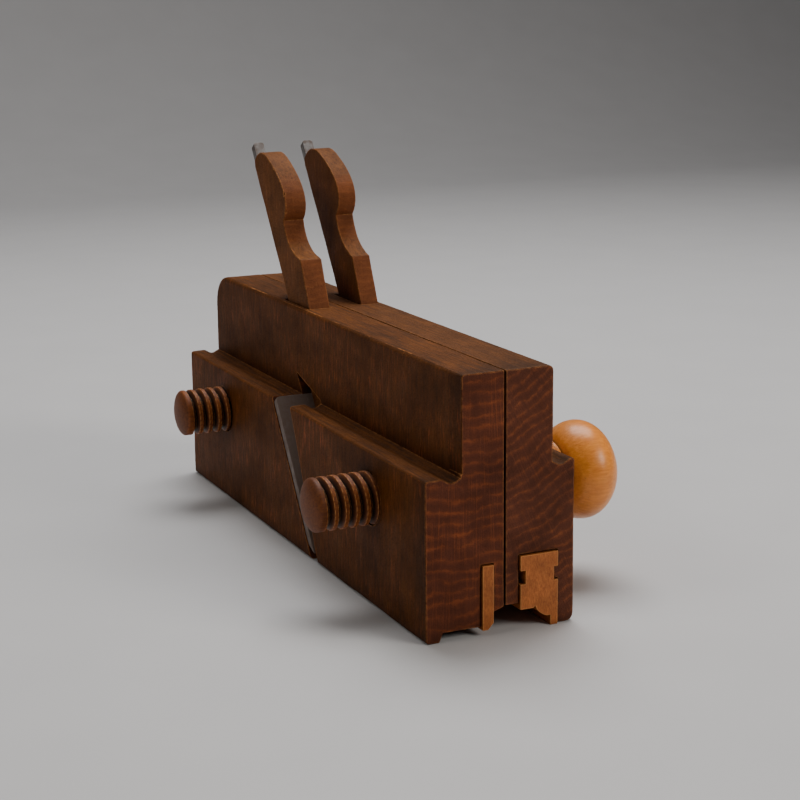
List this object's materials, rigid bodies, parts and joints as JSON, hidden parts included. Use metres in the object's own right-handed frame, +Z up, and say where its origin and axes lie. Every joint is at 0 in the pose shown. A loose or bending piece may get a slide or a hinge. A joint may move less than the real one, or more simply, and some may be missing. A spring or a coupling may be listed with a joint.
{
  "type": "screw-arm sash plane",
  "caption": "Wooden sash moulding plane in two halves that open and close on boxwood screws, each half with its own bedded iron and wedge.",
  "frame": {"origin": "centre of the bounding box on the surface that the plane stands on", "axes": "+Y from toe to heel along the length, +Z up, +X from the rabbet half to the moulding half and its knobs"},
  "size_m": [0.12, 0.2424, 0.1498],
  "materials": {
    "beech": "oiled and handled, satin",
    "boxing": "hard boxwood strips, satin",
    "screw_boxwood": "turned boxwood, polished by handling",
    "wedge_beech": "handled beech, satin",
    "iron_steel": "dull steel with grey-brown patina"
  },
  "bodies": {
    "moulding_half": {"moulding_stock": "beech", "moulding_boxing_front": "boxing", "moulding_boxing_rear": "boxing", "front_screw_pin": "boxing", "rear_screw_pin": "boxing"},
    "rabbet_half": {"rabbet_stock": "beech", "rabbet_boxing_front": "boxing", "rabbet_boxing_rear": "boxing"},
    "front_screw": {"front_screw": "screw_boxwood"},
    "rear_screw": {"rear_screw": "screw_boxwood"},
    "rabbet_iron": {"rabbet_iron": "iron_steel"},
    "rabbet_wedge": {"rabbet_wedge": "wedge_beech"},
    "moulding_iron": {"moulding_iron": "iron_steel"},
    "moulding_wedge": {"moulding_wedge": "wedge_beech"}
  },
  "joints": [
    {"name": "front_screw_turn", "type": "hinge", "parent": "moulding_half", "child": "front_screw", "pos_m": [0, -0.07465, 0.0389], "axis": [1, 0, 0], "range_deg": [-27, 1440]},
    {"name": "rear_screw_turn", "type": "hinge", "parent": "moulding_half", "child": "rear_screw", "pos_m": [0, 0.07685, 0.0389], "axis": [1, 0, 0], "range_deg": [-27, 1440]},
    {"name": "rabbet_half_slide", "type": "slide", "parent": "moulding_half", "child": "rabbet_half", "axis": [-1, 0, 0], "range_m": [-0.0003, 0.016]},
    {"name": "rabbet_iron_slide", "type": "slide", "parent": "rabbet_half", "child": "rabbet_iron", "axis": [0, 0.5664, 0.8241], "range_m": [-0.002, 0.005]},
    {"name": "rabbet_wedge_slide", "type": "slide", "parent": "rabbet_half", "child": "rabbet_wedge", "axis": [0, 0.5664, 0.8241], "range_m": [0, 0.065]},
    {"name": "moulding_iron_slide", "type": "slide", "parent": "moulding_half", "child": "moulding_iron", "axis": [0, 0.5664, 0.8241], "range_m": [-0.002, 0.005]},
    {"name": "moulding_wedge_slide", "type": "slide", "parent": "moulding_half", "child": "moulding_wedge", "axis": [0, 0.5664, 0.8241], "range_m": [0, 0.065]}
  ],
  "couplings": [
    {"joint": "rear_screw_turn", "follows": "front_screw_turn", "ratio": 1},
    {"joint": "rabbet_half_slide", "follows": "front_screw_turn", "m_per_rad": 0.00063662}
  ]
}
